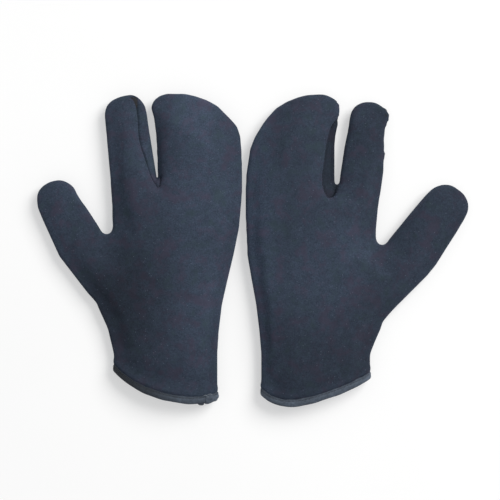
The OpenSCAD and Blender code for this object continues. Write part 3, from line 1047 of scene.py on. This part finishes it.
# ---- Materials. Texture scales are per millimetre, because the attributes hold millimetres.
class Graph:
    """Short ways to add nodes to a material."""

    def __init__(self, name):
        self.material = bpy.data.materials.new(name)
        self.material.use_nodes = True
        self.tree = self.material.node_tree
        self.shader = self.tree.nodes["Principled BSDF"]

    def node(self, kind, inputs=None, **props):
        n = self.tree.nodes.new(kind)
        for key, value in props.items():
            setattr(n, key, value)
        for key, value in (inputs or {}).items():
            self.put(n.inputs[key], value)
        return n

    def put(self, socket, value):
        if hasattr(value, "is_linked"):
            self.tree.links.new(value, socket)
        else:
            socket.default_value = value

    def attribute(self, name):
        return self.node("ShaderNodeAttribute", attribute_name=name).outputs["Vector"]

    def split(self, vector):
        return self.node("ShaderNodeSeparateXYZ", {0: vector}).outputs

    def math(self, op, a, b=0.0, c=0.0):
        n = self.node("ShaderNodeMath", operation=op)
        for socket, value in zip(n.inputs, (a, b, c)):
            self.put(socket, value)
        return n.outputs[0]

    def times(self, a, b):
        return self.math("MULTIPLY", a, b)

    def noise(self, vector, scale, detail=2.0, rough=0.5):
        return self.node("ShaderNodeTexNoise", {"Vector": vector, "Scale": scale, "Detail": detail,
                                                "Roughness": rough}).outputs["Fac"]

    def stretch(self, value, low=0.3, high=0.7, to_low=0.0, to_high=1.0):
        n = self.node("ShaderNodeMapRange", {"Value": value, "From Min": low, "From Max": high,
                                             "To Min": to_low, "To Max": to_high})
        return n.outputs[0]

    def mix(self, factor, a, b, mode="MIX"):
        n = self.node("ShaderNodeMix", data_type="RGBA", blend_type=mode)
        self.put(n.inputs["Factor"], factor)
        self.put(n.inputs["A"], a)
        self.put(n.inputs["B"], b)
        return n.outputs["Result"]

    def dim(self, colour, factor):
        """The colour times a factor."""
        grey = self.node("ShaderNodeCombineColor", {0: factor, 1: factor, 2: factor}).outputs[0]
        return self.mix(1.0, colour, grey, "MULTIPLY")

    def bump(self, height, distance, strength=1.0, normal=None):
        n = self.node("ShaderNodeBump", {"Height": height, "Distance": distance, "Strength": strength})
        if normal is not None:
            self.put(n.inputs["Normal"], normal)
        return n.outputs["Normal"]

    def finish(self, colour, rough, normal, sheen, sheen_rough=0.5, specular=0.3, sheen_tint=None):
        self.put(self.shader.inputs["Base Color"], colour)
        self.put(self.shader.inputs["Roughness"], rough)
        self.put(self.shader.inputs["Normal"], normal)
        self.shader.inputs["Sheen Weight"].default_value = sheen
        self.shader.inputs["Sheen Roughness"].default_value = sheen_rough
        self.shader.inputs["Specular IOR Level"].default_value = specular
        if sheen_tint:
            self.shader.inputs["Sheen Tint"].default_value = sheen_tint
        return self.material


# The knit's loops, the tape's ribs and warp, and the puckers of a seam.
WALE, COURSE = 0.85, 0.7
RIB, WARP = 0.75, 0.5
PUCKER = 2.7
# Colours of the yarns, as light they reflect, and of the painted shade in seams and along the tape's edge.
NAVY = ((0.0180, 0.0260, 0.0430, 1), (0.048, 0.066, 0.101, 1))
PURPLE, GREEN = (0.044, 0.041, 0.067, 1), (0.030, 0.049, 0.060, 1)
SEAM_SHADE, STRAY_FIBRE = (0.006, 0.008, 0.012, 1), (0.14, 0.17, 0.23, 1)
PLUSH = ((0.006, 0.006, 0.008, 1), (0.02, 0.021, 0.025, 1))
TAPE, TAPE_RIB = ((0.030, 0.040, 0.058, 1), (0.072, 0.092, 0.122, 1)), (0.10, 0.12, 0.15, 1)
# Painted shade along the tape's free edge.
TAPE_EDGE_SHADE = (0.022, 0.027, 0.036, 1)
DARK_THREAD = ((0.010, 0.012, 0.018, 1), (0.040, 0.046, 0.060, 1))
PALE_THREAD = ((0.16, 0.19, 0.22, 1), (0.30, 0.34, 0.38, 1))


def knit_height(g, cloth, wale, course):
    """Height of a jersey knit: columns of V-shaped loops. Returns 0 to 1."""
    wobble = g.node("ShaderNodeTexNoise", {"Vector": cloth, "Scale": 0.35, "Detail": 1.0}).outputs["Color"]
    half = (0.5, 0.5, 0.5)
    moved = g.node("ShaderNodeVectorMath", {0: wobble, 1: half}, operation="MULTIPLY").outputs[0]
    place = g.node("ShaderNodeVectorMath", {0: cloth, 1: moved}, operation="ADD").outputs[0]
    xyz = g.split(place)
    across = g.math("FRACT", g.math("DIVIDE", xyz["X"], wale))
    off = g.math("ABSOLUTE", g.math("SUBTRACT", across, 0.5))
    up = g.math("MULTIPLY_ADD", off, -1.1, g.math("DIVIDE", xyz["Y"], course))
    strand = g.math("ABSOLUTE", g.math("SINE", g.times(up, math.pi)))
    groove = g.math("SUBTRACT", 1.0, g.math("POWER", g.times(off, 2.0), 3.0))
    return g.times(strand, groove)


@cache
def jersey(name, shade=1.0, seam_width=0.75):
    """Nylon jersey on neoprene: fine loops, mottled yarn and a few stray light fibres, with painted light
    and shade.
    """
    g = Graph(name)
    rest, cloth, seam = g.attribute("rest"), g.attribute("cloth"), g.attribute("seam")
    knit = knit_height(g, cloth, WALE, COURSE)
    grain = g.noise(cloth, 0.7, 3.0, 0.8)
    fine = g.noise(cloth, 1.35, 2.0, 0.6)
    tone = g.math("ADD", g.times(g.stretch(grain, 0.36, 0.64), 0.66),
                  g.times(g.stretch(fine, 0.33, 0.67), 0.34))
    colour = g.mix(tone, *NAVY)
    hue = g.noise(rest, 0.07, 3.0, 0.65)
    colour = g.mix(g.stretch(hue, 0.5, 0.64, 0.0, 0.7), colour, PURPLE)
    colour = g.mix(g.stretch(hue, 0.46, 0.3, 0.0, 0.6), colour, GREEN)
    blotch = g.stretch(g.noise(rest, 0.13, 3.0, 0.6), 0.3, 0.7, 0.88, 1.12)
    broad = g.stretch(g.noise(rest, 0.02, 2.0, 0.5), 0.3, 0.7, 0.9, 1.1)
    # The blotches and the knit vary the tone at random; the shade argument and the cloth attribute's third
    # value are painted light and shade.
    factor = g.times(g.times(blotch, broad), g.math("MULTIPLY_ADD", knit, 0.2, 0.88 * shade))
    colour = g.dim(colour, g.times(factor, g.split(cloth)["Z"]))
    # Stray fibres that catch the light.
    cell = g.node("ShaderNodeTexVoronoi", {"Vector": cloth, "Scale": 0.55, "Randomness": 1.0})
    draw = g.node("ShaderNodeSeparateColor", {0: cell.outputs["Color"]}).outputs[0]
    fibre = g.times(g.math("GREATER_THAN", draw, 0.9), g.math("LESS_THAN", cell.outputs["Distance"], 0.2))
    colour = g.mix(g.times(fibre, 0.45), colour, STRAY_FIBRE)
    # Stitches pucker the fabric beside a seam, and painted shade darkens the seam's crease.
    place = g.split(seam)
    away, along = place["X"], place["Y"]
    pucker = g.math("COSINE", g.times(along, 2 * math.pi / PUCKER))
    close_by = g.stretch(away, 0.2, 2.6, 1.0, 0.0)
    colour = g.mix(g.stretch(away, 0.15, seam_width, 0.65, 0.0), colour, SEAM_SHADE)
    height = g.math("ADD", g.times(knit, 0.7), g.times(grain, 0.7))
    normal = g.bump(height, 0.00024, 0.75)
    normal = g.bump(g.noise(rest, 0.3, 3.0, 0.6), 0.0006, 0.35, normal)
    normal = g.bump(g.times(pucker, close_by), 0.00016, 0.9, normal)
    return g.finish(colour, g.stretch(grain, 0.3, 0.7, 0.72, 0.9), normal, 0.16, 0.4, 0.16,
                    (0.5, 0.66, 1.0, 1))


@cache
def plush():
    g = Graph("plush_lining")
    rest = g.attribute("rest")
    pile = g.noise(rest, 1.1, 3.0, 0.7)
    normal = g.bump(g.noise(rest, 0.8, 4.0, 0.7), 0.0008, 0.9)
    return g.finish(g.mix(g.stretch(pile), *PLUSH), g.stretch(pile, 0.3, 0.7, 0.85, 1.0),
                    normal, 0.3, 0.6, 0.2)


@cache
def tape_cloth():
    """Woven binding tape: fine ribs across its length, with a soft shine."""
    g = Graph("cuff_tape")
    cloth = g.attribute("cloth")
    xyz = g.split(cloth)
    rib = g.math("SINE", g.times(xyz["X"], 2 * math.pi / RIB))
    warp = g.math("SINE", g.times(xyz["Y"], 2 * math.pi / WARP))
    weave = g.math("MULTIPLY_ADD", warp, 0.35, rib)
    mottle = g.noise(cloth, 0.5, 3.0, 0.6)
    colour = g.mix(g.stretch(mottle), *TAPE)
    colour = g.mix(g.stretch(weave, -1.3, 1.3, 0.0, 0.3), colour, TAPE_RIB)
    worn = g.stretch(g.noise(cloth, 0.05, 2.0, 0.5), 0.35, 0.65, 0.8, 1.15)
    # The worn noise varies the tone at random; the cloth attribute's third value is painted light and
    # shade on the tape.
    colour = g.dim(colour, g.times(worn, xyz["Z"]))
    # Painted shade: the first 1.1 mm of the tape from its free edge is darkened, where its step over the
    # fabric would be in shadow.
    edge = g.math("LESS_THAN", xyz["Y"], 1.1)
    colour = g.mix(g.times(edge, 0.55), colour, TAPE_EDGE_SHADE)
    normal = g.bump(mottle, 0.0004, 0.4, g.bump(weave, 0.00012, 0.8))
    return g.finish(colour, g.stretch(mottle, 0.3, 0.7, 0.5, 0.68), normal, 0.12, 0.35, 0.28,
                    (0.6, 0.75, 1.0, 1))


def sewing_thread(name, colours, scale, depth, strength):
    g = Graph(name)
    fibre = g.noise(g.attribute("rest"), scale, 2.0, 0.6)
    return g.finish(g.mix(g.stretch(fibre), *colours), g.stretch(fibre, 0.3, 0.7, 0.5, 0.7),
                    g.bump(fibre, depth, strength), 0.1)


@cache
def thread():
    return sewing_thread("thread", DARK_THREAD, 2.4, 0.00015, 0.6)


@cache
def pale_thread():
    return sewing_thread("pale_thread", PALE_THREAD, 3.0, 0.0001, 0.5)


# ---- Floor, light and camera, in metres
def build_stage():
    """A lit table: some of the light comes through it, which keeps the shadows pale."""
    g = Graph("floor")
    mottle = g.noise(g.node("ShaderNodeTexCoord").outputs["Object"], 3.0, 4.0, 0.6)
    colour = g.mix(g.stretch(mottle), (0.50, 0.50, 0.50, 1), (0.52, 0.52, 0.52, 1))
    g.finish(colour, g.stretch(mottle, 0.3, 0.7, 0.75, 0.8), g.bump(mottle, 0.0001, 0.1), 0.0)
    g.shader.inputs["Emission Color"].default_value = (1, 1, 1, 1)
    g.shader.inputs["Emission Strength"].default_value = 0.46
    half = 30.0
    corners = [(x * half, y * half, 0) for x, y in ((-1, -1), (1, -1), (1, 1), (-1, 1))]
    mesh = bpy.data.meshes.new("floor")
    mesh.from_pydata(corners, [], [(0, 1, 2, 3)])
    floor = bpy.data.objects.new("floor", mesh)
    mesh.materials.append(g.material)
    bpy.context.scene.collection.objects.link(floor)


def build_light():
    """A pale sky, and one large soft key light from behind and to the right."""
    world = bpy.data.worlds.new("studio")
    world.use_nodes = True
    back = world.node_tree.nodes["Background"]
    back.inputs["Color"].default_value = (0.97, 0.985, 1.0, 1)
    back.inputs["Strength"].default_value = 0.44
    bpy.context.scene.world = world
    light = bpy.data.lights.new("key", "AREA")
    light.shape, light.size, light.size_y = "RECTANGLE", 2.4, 2.4
    light.energy, light.color = 165.0, (1.0, 0.99, 0.975)
    key = bpy.data.objects.new("key", light)
    key.location = (2.3, 1.9, 2.6)
    key.rotation_euler = (-key.location).to_track_quat("-Z", "Y").to_euler()
    bpy.context.scene.collection.objects.link(key)


def build_camera():
    """Straight above the pair, from far enough for the outlines to keep their shape."""
    distance, view_width = 1.9, 0.465
    cam = bpy.data.cameras.new("camera")
    cam.sensor_width = 36.0
    cam.lens = cam.sensor_width * distance / view_width
    obj = bpy.data.objects.new("camera", cam)
    obj.location = (-0.0019, 0.0009, distance + 0.010)
    bpy.context.scene.collection.objects.link(obj)
    bpy.context.scene.camera = obj
    bpy.context.scene.view_settings.view_transform = "Standard"


for side in ("left", "right"):
    glove = Glove(side)
    build_shells(glove)
    build_cuff(glove)
build_stage()
build_light()
build_camera()
